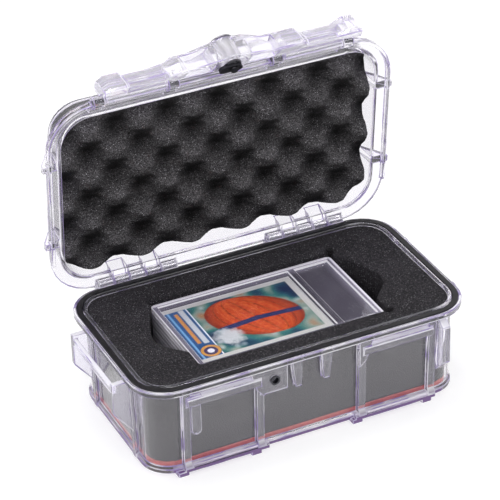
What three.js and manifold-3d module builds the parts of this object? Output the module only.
// Graded card storage case: a clear hinged case with foam, a full width latch with a key lock,
// and a stack of card slabs in the cut-out of the base foam.
// Millimetres, +Z up, X along the case, the hinge at +Y, the origin in the middle of the base's underside,
// a little above the plane that the feet stand on.
// The lid stands open at the stop angle and the latch is swung clear of the rim.

import * as THREE from 'three';
import { mergeVertices } from 'three/addons/utils/BufferGeometryUtils.js';
import Module from 'manifold-3d';

const wasm = await Module();
wasm.setup();

// Driving sizes of the rim, shared by the base, the gasket and the lid
const rimLength = 223.4;
const rimWidth = 126.01;
const rimCorner = 23.3;
const rimHeight = 64.03;

// Clearances
const seatGap = 0.3;
const overrun = 1;
const weld = 0.0001;
const pinGap = 0.2;

// Round shapes
const cornerSteps = 7;
const smallCornerSteps = 2;
const rodSides = 16;
const knuckleSides = 18;
const ringSides = 24;

// Base shell
const wall = 2.05;
const wallInset = 4.57;
const baseDraft = 1.68;
const floorThickness = 2.8;
const footRound = 1.49;
const flangeLip = 1.86;
const flangeDepth = 3.91;
const flangeStep = 0.56;
const grooveDepth = 2.61;
const lipHeight = 4.29;
const footHeight = 2.05;
const footWidth = 7.08;
const footLength = 8.39;
const footShift = 4.75;
const middleLip = 1.96;
const outerLip = 4.85;

// Front ribs, catch bars and blocks of the base
const ribWidth = 5.13;
const innerRibX = 32.62;
const outerRibInset = 29.68;
const ribDepth = 2.7;
const ribFoot = 2.05;
const ribFootHeight = 6.52;
const barDepth = 4.57;
const barDrop = 9.41;
const barHeight = 7.08;
const barRound = 2.42;
const barRoundShare = 0.3;
const blockDepth = 3.63;
const eyeletBlockNear = 17.24;
const eyeletBlockDrop = 23.02;
const eyeletX = 26;
const eyeletDrop = 14.07;
const eyeletRadius = 3.26;
const eyeletBore = 2.14;
const eyeletFlange = 0.75;
const eyeletDepth = 2.42;
const guideNear = 6.71;
const guideWidth = 7.08;
const guideDrop = 24.42;
const guideTaper = 2.24;
const postWidth = 6.34;
const postDrop = 38.4;
const postDepth = 2.42;
const earWidth = 5.59;
const earGap = 1.49;
const earDepth = 8.02;
const earDrop = 45.39;
const earRise = 8.85;
const earLip = 0.93;
const gussetDrop = 14.91;

// Ribs on the ends and the strap bar on the left end
const endRibY = 30.76;
const endRibWidth = 4.1;
const endRibDepth = 2.42;
const knobReach = 3.73;
const knobHeight = 4.29;
const knobSlope = 5.59;
const strapReach = 13.61;
const strapDrop = 6.24;
const strapOuterHeight = 21.44;
const strapWallHeight = 40.08;
const strapPlate = 3.73;
const strapBarDrop = 2.24;
const strapBarHeight = 4.66;
const strapBarThickness = 2.98;

// Gasket, foam and backing sheet
const gasketWidth = 3.63;
const gasketFoot = 0.84;
const sheetThickness = 3.36;
const foamDrop = 1.12;
const pocketGap = 1.49;
const pocketFloor = 5.22;
const notchReachLeft = 13.51;
const notchReachRight = 14.45;
const notchSpan = 57.78;
const notchFloor = 8.39;
const reliefRadius = 3.17;

// Card slabs
const slabCount = 8;
const slabLength = 127.2;
const slabWidth = 76.9;
const slabPitch = 5.96;
const slabCorner = 2.42;
const slabX = -1.86;
const slabY = -3.26;
const slabFrame = 3.73;
const slabSink = 0.75;
const labelWell = 1.3;
const slabDivider = 4.66;
const cardLength = 88.9;
const cardWidth = 63.5;
const cardThickness = 0.84;
const cardSide = 4.5;
const cardShift = -0.8;
const windowGap = 1.7;

// Lid shell
const lidReach = 6.24;
const lidDepth = 23.3;
const lidWall = 2.42;
const lidWallInset = 0.84;
const lidDraft = 2.05;
const lidRound = 4.66;
const lidFlangeDepth = 2.98;
const skirtThickness = 2.24;
const skirtDrop = 2.98;
const skirtEnd = 42.87;
const lidFoamBase = 6.52;
const lidFoamWave = 10.25;
const foamPitchX = 34.95;
const foamPitchY = 33.83;
const foamPeakX = 18.64;
const foamPeakY = 26.47;
const foamCell = 5.87;
const lidOpenDegrees = 84.8;
const lidRibY = 28.89;
const lidRibWidth = 4.66;
const lidRibDepth = 2.98;
const topRibHeight = 1.12;
const topRibWidth = 2.98;

// Hinge
const hingeY = 67.5;
const hingeDrop = 0.19;
const knuckleRadius = 3.73;
const hingePin = 1.49;
const knuckleWidth = 10.72;
const knuckleGap = 0.3;
const hingeInset = 79.08;
const knucklesPerSide = 5;
const webHeight = 14.91;
const webThickness = 2.8;
const lidWebHeight = 11.18;
const stopGap = 0.75;
const stopReach = 6.15;
const stopThickness = 4.66;

// Latch rods and lugs on the lid
const rodRadius = 1.49;
const rodY = -71.3;
const rodDrop = 2.33;
const lugWidth = 7.46;
const lugShift = 1.12;
const lugRadius = 4.1;
const lugRise = 8.39;

// Latch handle
const latchInset = 25.96;
const latchReach = 17.24;
const latchOpenDegrees = 70;
const clipWall = 2.24;
const clipGap = 0.3;
const clipDrop = 8.39;
const clipFront = 5.96;
const clipBack = 0.93;
const clipMouthFrom = -14;
const clipMouthTo = 134;
const latchPocketNear = 12.12;
const latchPocketFar = 30.76;
const latchPocketTop = 8.95;
const latchPocketBottom = 18.64;
const latchPocketDepth = 6.52;

// Lock in the middle of the latch
const lockRadius = 6.15;
const lockCollar = 2.24;
const lockDrop = 12.49;
const lockFront = 10.81;
const lockBack = 6.52;
const lockRimRadius = 8.57;
const lockRim = 0.93;
const plugRadius = 4.29;
const keyWidth = 1.3;
const keyHeight = 5.96;
const keyDepth = 4.66;
const camTip = 9.69;
const camTail = 5.96;
const camWidth = 5.22;
const camThickness = 1.86;
const camRoomGap = 0.56;
const screwRadius = 2.42;
const screwHead = 1.3;
const screwShank = 1.21;
const screwDepth = 3.73;

// Places worked out from the sizes above
const halfLength = rimLength / 2;
const halfWidth = rimWidth / 2;
const wallX = halfLength - wallInset;
const wallY = halfWidth - wallInset;
const flangeBottom = rimHeight - flangeStep - flangeDepth;
const hingeZ = rimHeight - hingeDrop;
const partingZ = rimHeight + seatGap;
const rodZ = rimHeight - rodDrop;
const lockZ = rodZ - lockDrop;
const lockOuterY = rodY - lockFront;
const lockInnerY = rodY + lockBack;
const foamTop = rimHeight - foamDrop;
const foamBottom = floorThickness + sheetThickness + 2 * seatGap;
const lidX = halfLength - lidWallInset;
const lidY = halfWidth - lidWallInset;
const lidTop = partingZ + lidDepth;
const outerRibX = halfLength - outerRibInset;
const hingeStart = halfLength - hingeInset;
const latchHalf = halfLength - latchInset;
const barTop = rimHeight - barDrop;
const barBottom = barTop - barHeight;
const eyeletZ = rimHeight - eyeletDrop;
const guideBottom = rimHeight - guideDrop;
const postBottom = rimHeight - postDrop;
const earBottom = rimHeight - earDrop;
const strapTop = rimHeight - strapDrop;
const strapBarTop = strapTop - strapBarDrop;
const lugStarts = [innerRibX - lugShift, outerRibX - lugShift];
const rodStart = lugStarts[0];
const rodEnd = lugStarts[1] + lugWidth;
const stackTop = foamBottom + pocketFloor + seatGap + slabCount * slabPitch;

// Materials
function finish(color, roughness, metalness, opacity = 1) {
  return new THREE.MeshStandardMaterial({ color, roughness, metalness, opacity, transparent: opacity < 1 });
}
const clear = () => finish('#e6e3f2', 0.12, 0, 0.35);
const blackFoam = () => finish('#2a282b', 0.95, 0);
const rubber = () => finish('#1c1a1e', 0.7, 0);
const redFoam = () => finish('#d8402f', 0.9, 0);
const steel = () => finish('#b9bcc2', 0.25, 1);
const darkSteel = () => finish('#3a3a3e', 0.4, 1);
const slabPlastic = () => finish('#dedde6', 0.1, 0, 0.4);
const cardStock = () => finish('#e9e6df', 0.55, 0);

// Solids
function toSolid(geometry) {
  geometry.deleteAttribute('normal');
  geometry.deleteAttribute('uv');
  const merged = mergeVertices(geometry, weld);
  const vertProperties = new Float32Array(merged.attributes.position.array);
  const triVerts = new Uint32Array(merged.index.array);
  return new wasm.Manifold(new wasm.Mesh({ numProp: 3, vertProperties, triVerts }));
}

function toGeometry(solid) {
  const mesh = solid.getMesh();
  const geometry = new THREE.BufferGeometry();
  geometry.setAttribute('position', new THREE.BufferAttribute(mesh.vertProperties, mesh.numProp));
  geometry.setIndex(new THREE.BufferAttribute(mesh.triVerts, 1));
  geometry.computeVertexNormals();
  return geometry;
}

function join(first, ...others) {
  return others.reduce((sum, other) => sum.add(other), first);
}

function cut(first, ...others) {
  return others.reduce((rest, other) => rest.subtract(other), first);
}

function box(x0, x1, y0, y1, z0, z1) {
  const geometry = new THREE.BoxGeometry(x1 - x0, y1 - y0, z1 - z0);
  geometry.translate((x0 + x1) / 2, (y0 + y1) / 2, (z0 + z1) / 2);
  return toSolid(geometry);
}

function rod(radius, x0, x1, y, z, sides = rodSides) {
  const geometry = new THREE.CylinderGeometry(radius, radius, x1 - x0, sides);
  geometry.rotateZ(Math.PI / 2);
  geometry.translate((x0 + x1) / 2, y, z);
  return toSolid(geometry);
}

function peg(radius, y0, y1, x, z, sides = ringSides) {
  const geometry = new THREE.CylinderGeometry(radius, radius, y1 - y0, sides);
  geometry.translate(x, (y0 + y1) / 2, z);
  return toSolid(geometry);
}

// A plan outline with round corners, counterclockwise
function roundedOutline(length, width, radius, steps = cornerSteps) {
  const points = [];
  const centres = [[1, -1], [1, 1], [-1, 1], [-1, -1]];
  centres.forEach(([sideX, sideY], corner) => {
    for (let step = 0; step <= steps; step += 1) {
      const angle = ((corner - 1) + step / steps) * Math.PI / 2;
      const x = sideX * (length / 2 - radius) + radius * Math.cos(angle);
      const y = sideY * (width / 2 - radius) + radius * Math.sin(angle);
      points.push(new THREE.Vector2(x, y));
    }
  });
  return points;
}

// A plan outline raised from one height to another
function prism(points, low, high) {
  const geometry = new THREE.ExtrudeGeometry(new THREE.Shape(points), {
    depth: high - low, bevelEnabled: false, curveSegments: cornerSteps,
  });
  geometry.translate(0, 0, low);
  return toSolid(geometry);
}

// The rim outline grown by an amount on all sides
function rimOutline(grow) {
  return roundedOutline(rimLength + 2 * grow, rimWidth + 2 * grow, rimCorner + grow);
}

// A body through a stack of level outlines that have equally many points
function loft(levels) {
  const count = levels[0].points.length;
  const positions = [];
  const index = [];
  levels.forEach(({ points, z }) => points.forEach((point) => positions.push(point.x, point.y, z)));
  for (let level = 0; level + 1 < levels.length; level += 1) {
    for (let side = 0; side < count; side += 1) {
      const a = level * count + side;
      const b = level * count + (side + 1) % count;
      index.push(a, b, b + count, a, b + count, a + count);
    }
  }
  const top = (levels.length - 1) * count;
  THREE.ShapeUtils.triangulateShape(levels[0].points, []).forEach(([a, b, c]) => {
    index.push(a, c, b, top + a, top + b, top + c);
  });
  const geometry = new THREE.BufferGeometry();
  geometry.setAttribute('position', new THREE.Float32BufferAttribute(positions, 3));
  geometry.setIndex(index);
  return toSolid(geometry);
}

// A side outline in Y and Z, run along X
const alongX = new THREE.Matrix4().makeBasis(
  new THREE.Vector3(0, 1, 0), new THREE.Vector3(0, 0, 1), new THREE.Vector3(1, 0, 0),
);
function sideProfile(points, x0, x1) {
  const shape = new THREE.Shape(points.map(([y, z]) => new THREE.Vector2(y, z)));
  const geometry = new THREE.ExtrudeGeometry(shape, { depth: x1 - x0, bevelEnabled: false });
  geometry.applyMatrix4(alongX);
  geometry.translate(x0, 0, 0);
  return toSolid(geometry);
}

// A front outline in X and Z, run along Y
const alongY = new THREE.Matrix4().makeBasis(
  new THREE.Vector3(1, 0, 0), new THREE.Vector3(0, 0, 1), new THREE.Vector3(0, -1, 0),
);
function frontProfile(points, y0, y1) {
  const shape = new THREE.Shape(points.map(([x, z]) => new THREE.Vector2(x, z)));
  const geometry = new THREE.ExtrudeGeometry(shape, { depth: y1 - y0, bevelEnabled: false });
  geometry.applyMatrix4(alongY);
  geometry.translate(0, y1, 0);
  return toSolid(geometry);
}

// The same solid on the other side of the middle plane, its triangles turned round to face outwards again
function mirrorX(solid) {
  const geometry = toGeometry(solid);
  geometry.scale(-1, 1, 1);
  const turned = Array.from(geometry.index.array);
  for (let start = 0; start < turned.length; start += 3) {
    [turned[start], turned[start + 1]] = [turned[start + 1], turned[start]];
  }
  geometry.setIndex(turned);
  return toSolid(geometry);
}

// The lid turns about the hinge and carries the latch, which turns about its rods.
// Every piece is drawn in its closed place and stands where its group has swung it.
const assembly = new THREE.Group();
const lidGroup = new THREE.Group();
lidGroup.position.set(0, hingeY, hingeZ);
lidGroup.rotation.x = -THREE.MathUtils.degToRad(lidOpenDegrees);
assembly.add(lidGroup);
const latchGroup = new THREE.Group();
latchGroup.position.set(0, rodY - hingeY, rodZ - hingeZ);
latchGroup.rotation.x = -THREE.MathUtils.degToRad(latchOpenDegrees);
lidGroup.add(latchGroup);
const base = { group: assembly, pivotY: 0, pivotZ: 0 };
const lid = { group: lidGroup, pivotY: hingeY, pivotZ: hingeZ };
const latch = { group: latchGroup, pivotY: rodY, pivotZ: rodZ };

function addPart(name, solid, material, { group, pivotY, pivotZ } = base) {
  const mesh = new THREE.Mesh(toGeometry(solid), material);
  mesh.name = name;
  mesh.position.set(0, -pivotY, -pivotZ);
  group.add(mesh);
}

// Places of the hinge knuckles on the right side, from the middle of the case outwards
const knucklePitch = knuckleWidth + knuckleGap;
const knuckles = Array.from({ length: knucklesPerSide }, (unused, place) => {
  const start = hingeStart + place * knucklePitch;
  return { start, end: start + knuckleWidth, onBase: place % 2 === 0 };
});
const hingeEnd = knuckles[knucklesPerSide - 1].end;

// Base shell
function baseBody() {
  const outerLevel = (z, inset) => ({
    points: roundedOutline(2 * (wallX - inset), 2 * (wallY - inset), rimCorner - wallInset - inset),
    z,
  });
  const body = loft([
    outerLevel(0, baseDraft + footRound),
    outerLevel(footRound, baseDraft),
    outerLevel(rimHeight, 0),
  ]);
  const flange = prism(rimOutline(flangeLip), flangeBottom, rimHeight - flangeStep);
  const grooveFloor = rimHeight - grooveDepth;
  const outerGroove = prism(rimOutline(0), grooveFloor, rimHeight + overrun);
  const innerGroove = prism(rimOutline(-wallInset), grooveFloor - overrun, rimHeight + 2 * overrun);
  const lip = loft([
    {
      points: roundedOutline(
        2 * (wallX - baseDraft + middleLip), 2 * (wallY - baseDraft + middleLip),
        rimCorner - wallInset - baseDraft + middleLip,
      ),
      z: 0,
    },
    {
      points: roundedOutline(
        2 * (wallX - baseDraft + middleLip), 2 * (wallY - baseDraft + middleLip),
        rimCorner - wallInset - baseDraft + middleLip,
      ),
      z: lipHeight - footRound,
    },
    outerLevel(lipHeight, baseDraft),
  ]);
  const groove = cut(outerGroove, innerGroove);
  return join(body, cut(flange, groove), lip);
}

// Feet under the ribs
function feet() {
  const front = -wallY + baseDraft - outerLip;
  const back = wallY - baseDraft + middleLip;
  return [-outerRibX - ribWidth, -innerRibX - ribWidth, innerRibX, outerRibX].flatMap((rib) => {
    const x = rib - footShift;
    return [
      box(x, x + footWidth, front, front + footLength, -footHeight, lipHeight / 4),
      box(x, x + footWidth, back - footLength, back, -footHeight, lipHeight / 4),
    ];
  });
}

function cavity() {
  const level = (z, inset) => ({
    points: roundedOutline(2 * (wallX - wall - inset), 2 * (wallY - wall - inset),
      rimCorner - wallInset - wall - inset),
    z,
  });
  const share = floorThickness / rimHeight;
  return loft([level(floorThickness, baseDraft * (1 - share)), level(rimHeight + overrun, 0)]);
}

// A full height rib on the front wall, with a flared foot and a sloping face
function frontRib(x0, x1) {
  const face = -wallY - ribDepth;
  const lowFace = face + baseDraft;
  return sideProfile([
    [-wallY + wall, 0],
    [lowFace - ribFoot, 0],
    [lowFace - ribFoot, ribFootHeight / 2],
    [lowFace, ribFootHeight],
    [face, flangeBottom + seatGap],
    [-wallY + wall, flangeBottom + seatGap],
  ], x0, x1);
}

// Bar with a rounded face, between two ribs, that the latch hooks under
function catchBar(back) {
  const face = -wallY - barDepth;
  const ease = barRound * barRoundShare;
  return sideProfile([
    [back, barBottom], [face + barRound, barBottom], [face + ease, barBottom + ease],
    [face, barBottom + barRound],
    [face, barTop - barRound], [face + ease, barTop - ease], [face + barRound, barTop], [back, barTop],
  ], innerRibX + ribWidth / 2, outerRibX + ribWidth / 2);
}

function frontDetails() {
  const back = -wallY + wall / 2;
  const solids = [];
  [-1, 1].forEach((side) => {
    const place = (solid) => solids.push(side > 0 ? solid : mirrorX(solid));
    place(frontRib(innerRibX, innerRibX + ribWidth));
    place(frontRib(outerRibX, outerRibX + ribWidth));
    place(catchBar(back));
    place(sideProfile([
      [back, 0], [-wallY + baseDraft - outerLip, 0], [-wallY + baseDraft - outerLip, lipHeight - footRound],
      [-wallY + baseDraft - outerLip + footRound, lipHeight], [back, lipHeight],
    ], innerRibX - ribWidth / 2, outerRibX + ribWidth));
    // Gusset under the catch bar, beside the inner rib
    place(frontProfile([
      [innerRibX, flangeBottom], [innerRibX, barTop - gussetDrop],
      [innerRibX + ribWidth, barTop - gussetDrop + ribWidth], [innerRibX + ribWidth + barDepth, flangeBottom],
    ], -wallY - blockDepth, back));
    // Guide block for the lock tongue, drawn in towards its foot
    place(frontProfile([
      [guideNear, flangeBottom], [guideNear + guideTaper / 2, guideBottom],
      [guideNear + guideWidth - guideTaper, guideBottom], [guideNear + guideWidth, flangeBottom],
    ], -wallY - blockDepth, back));
  });
  // Block for the steel eyelet, beside the left inner rib
  solids.push(box(-innerRibX - ribWidth / 2, -eyeletBlockNear, -wallY - blockDepth, back,
    rimHeight - eyeletBlockDrop, flangeBottom));
  // Post beside the left outer rib, with a round lower end
  const postLeft = -outerRibX + seatGap * 2;
  const postMiddle = postLeft + postWidth / 2;
  const postFront = -wallY - postDepth;
  solids.push(box(postLeft, postLeft + postWidth, postFront, back, postBottom + postWidth / 2, barTop));
  solids.push(peg(postWidth / 2, postFront, back, postMiddle, postBottom + postWidth / 2));
  // Ear beside the right outer rib, with a slanting underside
  const earLeft = outerRibX + ribWidth + earGap;
  solids.push(sideProfile([
    [back, earBottom], [-wallY, earBottom], [-wallY - earDepth, earBottom + earRise],
    [-wallY - earDepth, barTop - earLip], [-wallY, flangeBottom + seatGap], [back, flangeBottom + seatGap],
  ], earLeft, earLeft + earWidth));
  return solids;
}

function endDetails() {
  const solids = [];
  [-1, 1].forEach((side) => {
    const y0 = side * endRibY - endRibWidth / 2;
    const y1 = side * endRibY + endRibWidth / 2;
    const inner = wallX - wall / 2;
    const slopedRib = (height) => frontProfile([
      [inner - baseDraft, 0], [wallX - baseDraft + endRibDepth, 0],
      [wallX + endRibDepth, height], [inner, height],
    ], y0, y1);
    solids.push(slopedRib(flangeBottom + seatGap));
    solids.push(mirrorX(slopedRib(flangeBottom + seatGap)));
    const knobX = halfLength + flangeLip + knobReach;
    solids.push(frontProfile([
      [inner, flangeBottom - knobHeight - knobSlope], [knobX, flangeBottom - knobHeight],
      [knobX, flangeBottom], [inner, flangeBottom + seatGap],
    ], y0, y1));
    // Plate that carries the strap bar
    solids.push(frontProfile([
      [-inner, strapTop], [-wallX - strapReach, strapTop],
      [-wallX - strapReach, strapTop - strapOuterHeight], [-inner, strapTop - strapWallHeight],
    ], side * endRibY - strapPlate / 2, side * endRibY + strapPlate / 2));
  });
  solids.push(box(
    -wallX - strapReach, -wallX - strapReach + strapBarThickness, -endRibY, endRibY,
    strapBarTop - strapBarHeight, strapBarTop,
  ));
  return solids;
}

// Barrel of one knuckle with its web to the case wall
function baseKnuckle(start, end) {
  const web = sideProfile([
    [wallY - wall / 2, hingeZ - webHeight - webThickness], [wallY, hingeZ - webHeight - webThickness],
    [hingeY + knuckleRadius, hingeZ - knuckleRadius], [hingeY + knuckleRadius, hingeZ],
    [hingeY, hingeZ], [halfWidth + flangeLip, flangeBottom + seatGap],
    [wallY - wall / 2, flangeBottom + seatGap],
  ], start, end);
  return join(web, rod(knuckleRadius, start, end, hingeY, hingeZ, knuckleSides));
}

// Free room round a knuckle of the other shell
function knuckleRoom(start, end) {
  const radius = knuckleRadius + 2 * knuckleGap;
  return rod(radius, start - knuckleGap, end + knuckleGap, hingeY, hingeZ, knuckleSides);
}

function hingeBore(start, end) {
  return rod(hingePin + pinGap, start - overrun, end + overrun, hingeY, hingeZ);
}

// Shelf behind the wall that the lid knuckles come to rest on
function stopShelf() {
  const top = hingeZ - knuckleRadius - stopGap;
  return sideProfile([
    [wallY - wall / 2, top - stopThickness - stopReach], [wallY, top - stopThickness - stopReach],
    [hingeY + stopReach, top - stopThickness / 2], [hingeY + stopReach, top], [wallY - wall / 2, top],
  ], hingeStart, hingeEnd);
}

function baseShell() {
  let shell = baseBody();
  shell = join(shell, ...frontDetails(), ...endDetails());
  const shelf = stopShelf();
  shell = join(shell, shelf, mirrorX(shelf), ...feet());
  knuckles.filter((knuckle) => knuckle.onBase).forEach(({ start, end }) => {
    const knuckle = baseKnuckle(start, end);
    shell = join(shell, knuckle, mirrorX(knuckle));
  });
  knuckles.filter((knuckle) => !knuckle.onBase).forEach(({ start, end }) => {
    const room = knuckleRoom(start, end);
    shell = cut(shell, room, mirrorX(room));
  });
  const bore = hingeBore(hingeStart, hingeEnd);
  shell = cut(shell, cavity(), bore, mirrorX(bore));
  const eyeletSeat = peg(eyeletRadius - eyeletFlange + seatGap, -wallY - blockDepth - overrun,
    -wallY - blockDepth + eyeletDepth + seatGap, -eyeletX, eyeletZ);
  return cut(shell, eyeletSeat);
}

addPart('base_shell', baseShell(), clear());

// Gasket in the groove round the rim, with a low inner foot
function rimGasket() {
  const bottom = rimHeight - grooveDepth + seatGap;
  const band = prism(rimOutline(-seatGap), bottom, rimHeight);
  const foot = prism(rimOutline(-gasketWidth), bottom + gasketFoot, rimHeight + overrun);
  const hole = prism(rimOutline(-wallInset + seatGap), bottom - overrun, rimHeight + 2 * overrun);
  return cut(band, foot, hole);
}

// Sheet and foam block below the slabs
function insideOutline(z, clearance) {
  const inset = wall + clearance + baseDraft * (1 - z / rimHeight);
  return {
    points: roundedOutline(2 * (wallX - inset), 2 * (wallY - inset), rimCorner - wallInset - inset),
    z,
  };
}

function backingSheet() {
  const low = floorThickness + seatGap;
  return loft([insideOutline(low, seatGap), insideOutline(low + sheetThickness, seatGap)]);
}

// Outline of a finger notch, bulging away from the side of the stack
const notchShares = [
  [-0.4, -0.5], [0, -0.47], [0.86, -0.24], [1, -0.12], [0.94, 0.02], [0.3, 0.4], [0, 0.5], [-0.4, 0.5],
];
function fingerNotch(side, reach) {
  const edge = slabX + side * (slabLength / 2 + pocketGap);
  const points = notchShares.map(([out, along]) => (
    new THREE.Vector2(edge + side * out * reach, along * notchSpan)
  ));
  if (side < 0) points.reverse();
  return prism(points, foamBottom + notchFloor, rimHeight + overrun);
}

function baseFoam() {
  const block = loft([insideOutline(foamBottom, seatGap), insideOutline(foamTop, seatGap)]);
  const pocket = roundedOutline(
    slabLength + 2 * pocketGap, slabWidth + 2 * pocketGap, slabCorner, smallCornerSteps,
  ).map((point) => point.add(new THREE.Vector2(slabX, slabY)));
  const notches = [
    fingerNotch(-1, notchReachLeft),
    fingerNotch(1, notchReachRight),
  ];
  const reliefs = [[1, 1], [1, -1]].map(([sideX, sideY]) => {
    const relief = new THREE.CylinderGeometry(reliefRadius, reliefRadius, rimHeight, rodSides);
    relief.rotateX(Math.PI / 2);
    relief.translate(
      slabX + sideX * (slabLength / 2 + pocketGap),
      slabY + sideY * (slabWidth / 2 + pocketGap),
      foamBottom + pocketFloor + rimHeight / 2,
    );
    return toSolid(relief);
  });
  return cut(block, prism(pocket, foamBottom + pocketFloor, rimHeight + overrun), ...notches, ...reliefs);
}

addPart('rim_gasket', rimGasket(), rubber());
addPart('foam_backing_sheet', backingSheet(), redFoam());
addPart('base_foam', baseFoam(), blackFoam());

// Steel eyelet in its block
function eyelet() {
  const face = -wallY - blockDepth;
  const barrel = peg(eyeletRadius - eyeletFlange, face - seatGap, face + eyeletDepth, -eyeletX, eyeletZ);
  const head = peg(eyeletRadius, face - seatGap - eyeletFlange, face - seatGap, -eyeletX, eyeletZ);
  const bore = peg(
    eyeletBore, face - overrun - eyeletFlange, face + eyeletDepth + overrun, -eyeletX, eyeletZ,
  );
  return cut(join(barrel, head), bore);
}
addPart('padlock_eyelet', eyelet(), steel());

const pin = rod(hingePin, hingeStart + seatGap, hingeEnd - seatGap, hingeY, hingeZ);
addPart('hinge_pin_right', pin, steel());
addPart('hinge_pin_left', mirrorX(pin), steel());

// One slab: a back half with the card well, the card, and a front half with its window and label well
const slabHalf = slabPitch / 2 - seatGap;
const cardX = slabX - slabLength / 2 + cardSide + cardLength / 2;
const cardY = slabY + cardShift;

function slabOutline(inset = 0) {
  const points = roundedOutline(slabLength - 2 * inset, slabWidth - 2 * inset, slabCorner, smallCornerSteps);
  return points.map((point) => point.add(new THREE.Vector2(slabX, slabY)));
}

function slabBack(low) {
  const high = low + slabHalf;
  const well = box(
    cardX - cardLength / 2 - seatGap, cardX + cardLength / 2 + seatGap,
    cardY - cardWidth / 2 - seatGap, cardY + cardWidth / 2 + seatGap,
    high - cardThickness - seatGap, high + overrun,
  );
  return cut(prism(slabOutline(), low, high), well);
}

function slabCard(low) {
  const high = low + slabHalf;
  return box(cardX - cardLength / 2, cardX + cardLength / 2, cardY - cardWidth / 2, cardY + cardWidth / 2,
    high - cardThickness, high);
}

function slabFront(low) {
  const high = low + slabHalf;
  const left = slabX - slabLength / 2 + slabFrame;
  const right = slabX + slabLength / 2 - slabFrame;
  const divider = cardX + cardLength / 2 + windowGap;
  const near = slabY - slabWidth / 2 + slabFrame;
  const far = slabY + slabWidth / 2 - slabFrame;
  const cardWindow = box(left, divider, near, far, high - slabSink, high + overrun);
  const label = box(divider + slabDivider, right, near, far, high - labelWell, high + overrun);
  return cut(prism(slabOutline(), low, high), cardWindow, label);
}

for (let place = 0; place < slabCount; place += 1) {
  const low = stackTop - (place + 1) * slabPitch;
  const name = `slab_${place + 1}`;
  addPart(`${name}_back`, slabBack(low), slabPlastic());
  addPart(`${name}_card`, slabCard(low), cardStock());
  addPart(`${name}_front`, slabFront(low + slabPitch / 2), slabPlastic());
}

// Level outline of the lid, drawn closed on the base
function lidLevel(z, inset) {
  return {
    points: roundedOutline(2 * (lidX - inset), 2 * (lidY - inset), rimCorner - lidWallInset - inset),
    z,
  };
}

// Hollow of the lid, or what fills it with a clearance
function lidHollow(clearance) {
  const inset = lidWall + clearance;
  const ceiling = lidTop - inset;
  return loft([
    lidLevel(partingZ - overrun, inset),
    lidLevel(ceiling - lidRound / 2, inset + lidDraft / 2),
    lidLevel(ceiling, inset + lidDraft / 2 + lidRound / 2),
  ]);
}

function lidShell() {
  const body = loft([
    lidLevel(partingZ, 0),
    lidLevel(lidTop - lidRound, lidDraft / 2),
    lidLevel(lidTop - lidRound / 4, lidDraft / 2 + lidRound / 3),
    lidLevel(lidTop, lidDraft / 2 + lidRound),
  ]);
  const flange = prism(rimOutline(lidReach), partingZ, partingZ + lidFlangeDepth);
  const skirt = cut(
    prism(rimOutline(lidReach), partingZ - skirtDrop, partingZ + lidFlangeDepth / 2),
    prism(rimOutline(lidReach - skirtThickness), partingZ - skirtDrop - overrun, partingZ + lidFlangeDepth),
    box(-rimLength, rimLength, skirtEnd, rimWidth, partingZ - skirtDrop - overrun, partingZ),
  );
  const parts = [flange, skirt];
  // Ribs on the ends of the lid, and low ribs across its top
  [-1, 1].forEach((side) => {
    const y0 = side * lidRibY - lidRibWidth / 2;
    const y1 = side * lidRibY + lidRibWidth / 2;
    const endRib = frontProfile([
      [lidX - lidWall, partingZ], [halfLength + lidReach + lidRibDepth, partingZ],
      [halfLength + lidReach + lidRibDepth, partingZ + lidFlangeDepth], [lidX, lidTop - lidRound],
      [lidX - lidWall, lidTop - lidRound],
    ], y0, y1);
    parts.push(endRib, mirrorX(endRib));
    parts.push(box(-lidX + rimCorner, lidX - rimCorner, side * lidRibY - topRibWidth / 2,
      side * lidRibY + topRibWidth / 2, lidTop - topRibHeight, lidTop + topRibHeight));
  });
  // Lugs that hold the latch rods
  const lugPoints = [
    [-lidY + lidWall / 2, partingZ], [-lidY + lidWall / 2, partingZ + lugRise],
    [-lidY, partingZ + lugRise], [rodY - lugRadius, rodZ + rodRadius],
    [rodY - lugRadius, rodZ], [rodY, rodZ], [-halfWidth - lidReach + overrun, partingZ],
  ];
  lugStarts.forEach((x) => {
    const lug = join(sideProfile(lugPoints, x, x + lugWidth),
      rod(lugRadius, x, x + lugWidth, rodY, rodZ, knuckleSides));
    parts.push(lug, mirrorX(lug));
  });
  let shell = join(body, ...parts);
  knuckles.filter((knuckle) => !knuckle.onBase).forEach(({ start, end }) => {
    const web = sideProfile([
      [lidY - lidWall, partingZ + lidWebHeight], [lidY - lidWall, partingZ],
      [hingeY, hingeZ], [hingeY + knuckleRadius, hingeZ],
      [hingeY + knuckleRadius, partingZ + lidWebHeight / 2],
      [lidY, partingZ + lidWebHeight],
    ], start, end);
    const knuckle = join(web, rod(knuckleRadius, start, end, hingeY, hingeZ, knuckleSides));
    shell = join(shell, knuckle, mirrorX(knuckle));
  });
  // Room for the base knuckles, the base rim inside the skirt, the hinge pins and the latch rods
  knuckles.filter((knuckle) => knuckle.onBase).forEach(({ start, end }) => {
    const room = knuckleRoom(start, end);
    shell = cut(shell, room, mirrorX(room));
  });
  const rimRoom = prism(rimOutline(lidReach - skirtThickness), partingZ - skirtDrop - overrun, partingZ);
  const bore = hingeBore(hingeStart, hingeEnd);
  const rodBore = rod(rodRadius + pinGap, rodStart - overrun, rodEnd + overrun, rodY, rodZ);
  const rimCut = cut(rimRoom, box(-rimLength, rimLength, skirtEnd, rimWidth, 0, rimWidth));
  return cut(shell, lidHollow(0), rimCut, bore, mirrorX(bore), rodBore, mirrorX(rodBore));
}

addPart('lid_shell', lidShell(), clear(), lid);

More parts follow.
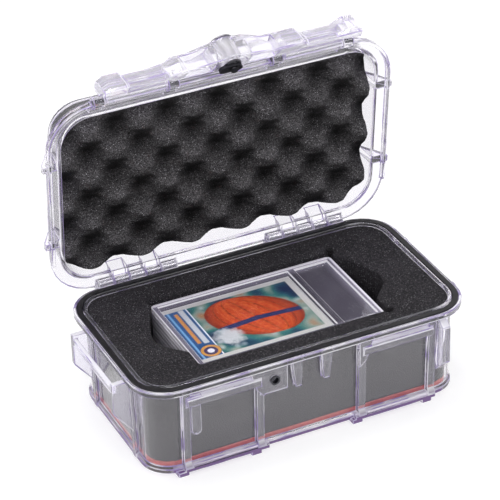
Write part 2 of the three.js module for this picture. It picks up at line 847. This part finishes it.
// Convoluted foam in the lid: a face of rounded peaks and valleys, trimmed to the hollow
function foamFace(x, y) {
  const alongPhase = 2 * Math.PI * (x - foamPeakX) / foamPitchX;
  const acrossPhase = 2 * Math.PI * (y - foamPeakY) / foamPitchY;
  const swing = Math.cos(alongPhase) * Math.cos(acrossPhase);
  return lidTop - lidWall - seatGap - lidFoamBase - lidFoamWave * (1 + swing) / 2;
}

function lidFoam() {
  const countX = Math.round(2 * lidX / foamCell);
  const countY = Math.round(2 * lidY / foamCell);
  const rows = countY + 1;
  const positions = [];
  const index = [];
  const quad = (a, b, c, d) => index.push(a, b, c, a, c, d);
  [foamFace, () => lidTop].forEach((height) => {
    for (let i = 0; i <= countX; i += 1) {
      for (let j = 0; j <= countY; j += 1) {
        const x = lidX * (2 * i / countX - 1);
        const y = lidY * (2 * j / countY - 1);
        positions.push(x, y, height(x, y));
      }
    }
  });
  const back = rows * (countX + 1);
  for (let i = 0; i < countX; i += 1) {
    for (let j = 0; j < countY; j += 1) {
      const a = i * rows + j;
      quad(a, a + 1, a + 1 + rows, a + rows);
      quad(back + a, back + a + rows, back + a + 1 + rows, back + a + 1);
    }
  }
  for (let i = 0; i < countX; i += 1) {
    const near = i * rows;
    const far = near + countY;
    quad(near, near + rows, back + near + rows, back + near);
    quad(far, back + far, back + far + rows, far + rows);
  }
  for (let j = 0; j < countY; j += 1) {
    const right = countX * rows + j;
    quad(j, back + j, back + j + 1, j + 1);
    quad(right, right + 1, back + right + 1, back + right);
  }
  const geometry = new THREE.BufferGeometry();
  geometry.setAttribute('position', new THREE.Float32BufferAttribute(positions, 3));
  geometry.setIndex(index);
  return lidHollow(seatGap).intersect(toSolid(geometry));
}

addPart('lid_foam', lidFoam(), blackFoam(), lid);

// Steel rods that the latch turns on
const latchRod = rod(rodRadius, rodStart + seatGap, rodEnd - seatGap, rodY, rodZ);
addPart('latch_rod_right', latchRod, steel(), lid);
addPart('latch_rod_left', mirrorX(latchRod), steel(), lid);

// Latch handle, drawn closed: sections across the rods, as shares of the reach of the end blocks.
// Each runs from the foot of the outer face over the hook lip and back up the inner side.
const endSectionShares = [
  [-0.39, -0.92], [0.35, -1.19], [0.58, -1.18], [0.57, -0.86],
  [0.33, -0.85], [0.12, -0.46], [-0.29, -0.32], [-0.46, -0.53],
];
const tipSectionShares = [
  [-0.33, -0.78], [0.3, -1.04], [0.54, -1.08], [0.55, -0.86],
  [0.33, -0.82], [0.12, -0.46], [-0.25, -0.34], [-0.38, -0.5],
];
const neckSectionShares = [
  [-0.37, -0.72], [0.19, -0.95], [0.39, -0.91], [0.36, -0.71],
  [0.22, -0.68], [0.08, -0.42], [-0.24, -0.31], [-0.38, -0.46],
];
const flankSectionShares = [
  [-0.5, -0.91], [0.11, -1.15], [0.47, -1.23], [0.5, -1.16],
  [0.45, -0.99], [0.24, -0.44], [-0.23, -0.3], [-0.46, -0.51],
];
const crownSectionShares = [
  [-0.61, -1.12], [0.06, -1.3], [0.44, -1.31], [0.47, -1.22],
  [0.44, -1.01], [0.24, -0.44], [-0.23, -0.3], [-0.48, -0.53],
];
const innerNeckSectionShares = [
  [-0.37, -0.84], [0.19, -1.0], [0.39, -0.95], [0.36, -0.75],
  [0.22, -0.68], [0.08, -0.42], [-0.24, -0.31], [-0.38, -0.5],
];
const blockSectionShares = [
  [-0.4, -1.02], [0.35, -1.21], [0.58, -1.2], [0.57, -0.88],
  [0.33, -0.85], [0.12, -0.46], [-0.29, -0.32], [-0.47, -0.6],
];
const latchStationShares = [
  [-1, tipSectionShares], [-0.95, endSectionShares], [-0.83, endSectionShares], [-0.8, neckSectionShares],
  [-0.64, neckSectionShares], [-0.475, innerNeckSectionShares], [-0.42, flankSectionShares],
  [-0.3, flankSectionShares], [-0.05, crownSectionShares], [0.13, crownSectionShares],
  [0.3, flankSectionShares], [0.555, flankSectionShares], [0.605, neckSectionShares],
  [0.84, neckSectionShares], [0.93, blockSectionShares], [1.012, blockSectionShares],
];

// Runs a skin over the sections and closes both ends
function latchLoft() {
  const positions = [];
  const index = [];
  const outline = (shares) => shares.map(([out, up]) => (
    new THREE.Vector2(rodY + out * latchReach, rodZ + up * latchReach)));
  latchStationShares.forEach(([along, shares]) => {
    outline(shares).forEach((point) => positions.push(along * latchHalf, point.x, point.y));
  });
  const count = crownSectionShares.length;
  const last = (latchStationShares.length - 1) * count;
  for (let station = 0; station + 1 < latchStationShares.length; station += 1) {
    for (let side = 0; side < count; side += 1) {
      const a = station * count + side;
      const b = station * count + (side + 1) % count;
      index.push(a, b, b + count, a, b + count, a + count);
    }
  }
  THREE.ShapeUtils.triangulateShape(outline(tipSectionShares), []).forEach(([a, b, c]) => {
    index.push(a, c, b);
  });
  THREE.ShapeUtils.triangulateShape(outline(blockSectionShares), []).forEach(([a, b, c]) => {
    index.push(last + a, last + b, last + c);
  });
  const geometry = new THREE.BufferGeometry();
  geometry.setAttribute('position', new THREE.Float32BufferAttribute(positions, 3));
  geometry.setIndex(index);
  return toSolid(geometry);
}

// Clip of the handle that turns on a rod, with a mouth towards the lid
function latchClip() {
  const clipStart = lugStarts[0] + lugWidth + 2 * clipGap;
  const clipEnd = lugStarts[1] - 2 * clipGap;
  const outer = rodRadius + clipGap + clipWall;
  const web = sideProfile([
    [rodY - outer, rodZ], [rodY - clipFront, rodZ - clipDrop],
    [rodY + clipBack, rodZ - clipDrop], [rodY + outer, rodZ],
  ], clipStart, clipEnd);
  const barrel = rod(outer, clipStart, clipEnd, rodY, rodZ, knuckleSides);
  const mouthCorners = [clipMouthFrom, (clipMouthFrom + clipMouthTo) / 2, clipMouthTo].map((degrees) => {
    const angle = THREE.MathUtils.degToRad(degrees);
    return [rodY + 2 * outer * Math.cos(angle), rodZ + 2 * outer * Math.sin(angle)];
  });
  const mouth = sideProfile([[rodY, rodZ], ...mouthCorners], clipStart - overrun, clipEnd + overrun);
  const bore = rod(rodRadius + clipGap, clipStart - overrun, clipEnd + overrun, rodY, rodZ);
  return { clip: cut(join(web, barrel), mouth), bore };
}

function latchHandle() {
  const { clip, bore } = latchClip();
  const collar = peg(lockRadius + seatGap + lockCollar, lockOuterY + 2 * seatGap, lockInnerY, 0, lockZ);
  const lockBore = peg(lockRadius + seatGap, lockOuterY - overrun, lockInnerY + latchReach, 0, lockZ);
  const camRoom = peg(camTip + camRoomGap, lockInnerY + seatGap, lockInnerY + latchReach, 0, lockZ);
  const pocket = box(latchPocketNear, latchPocketFar, rodY - latchPocketDepth, rodY + latchReach,
    rodZ - latchPocketBottom, rodZ - latchPocketTop);
  const handle = join(latchLoft(), clip, mirrorX(clip), collar);
  return cut(handle, bore, mirrorX(bore), lockBore, camRoom, pocket, mirrorX(pocket));
}

addPart('latch_handle', latchHandle(), clear(), latch);

// Key lock through the middle of the latch: housing, plug that the key turns, tongue and screw
function lockHousing() {
  const barrel = peg(lockRadius, lockOuterY - lockRim / 2, lockInnerY, 0, lockZ);
  const rim = peg(lockRimRadius, lockOuterY - lockRim, lockOuterY, 0, lockZ);
  const bore = peg(plugRadius + seatGap, lockOuterY - latchReach, lockInnerY + overrun, 0, lockZ);
  return cut(join(barrel, rim), bore);
}

function lockCylinder() {
  const front = lockOuterY - lockRim + seatGap;
  const plug = peg(plugRadius, front, lockInnerY + seatGap, 0, lockZ);
  const keyway = box(-keyWidth / 2, keyWidth / 2, front - overrun, front + keyDepth,
    lockZ - keyHeight / 2, lockZ + keyHeight / 2);
  const thread = peg(screwShank + seatGap, lockInnerY - screwDepth - seatGap, lockInnerY + overrun, 0, lockZ,
    rodSides);
  return cut(plug, keyway, thread);
}

const camNearY = lockInnerY + 2 * seatGap;

function lockCam() {
  const far = camNearY + camThickness;
  const blade = box(-camTip + camWidth / 2, camTail - camWidth / 2, camNearY, far,
    lockZ - camWidth / 2, lockZ + camWidth / 2);
  const tip = peg(camWidth / 2, camNearY, far, -camTip + camWidth / 2, lockZ, rodSides);
  const tail = peg(camWidth / 2, camNearY, far, camTail - camWidth / 2, lockZ, rodSides);
  const hole = peg(screwShank + seatGap, camNearY - overrun, far + overrun, 0, lockZ, rodSides);
  return cut(join(blade, tip, tail), hole);
}

function camScrew() {
  const seat = camNearY + camThickness + seatGap;
  const head = peg(screwRadius, seat, seat + screwHead, 0, lockZ, rodSides);
  const shank = peg(screwShank, lockInnerY - screwDepth, seat, 0, lockZ, rodSides);
  return join(head, shank);
}

addPart('lock_housing', lockHousing(), darkSteel(), latch);
addPart('lock_cylinder', lockCylinder(), steel(), latch);
addPart('lock_cam', lockCam(), darkSteel(), latch);
addPart('cam_screw', camScrew(), steel(), latch);

export default assembly;
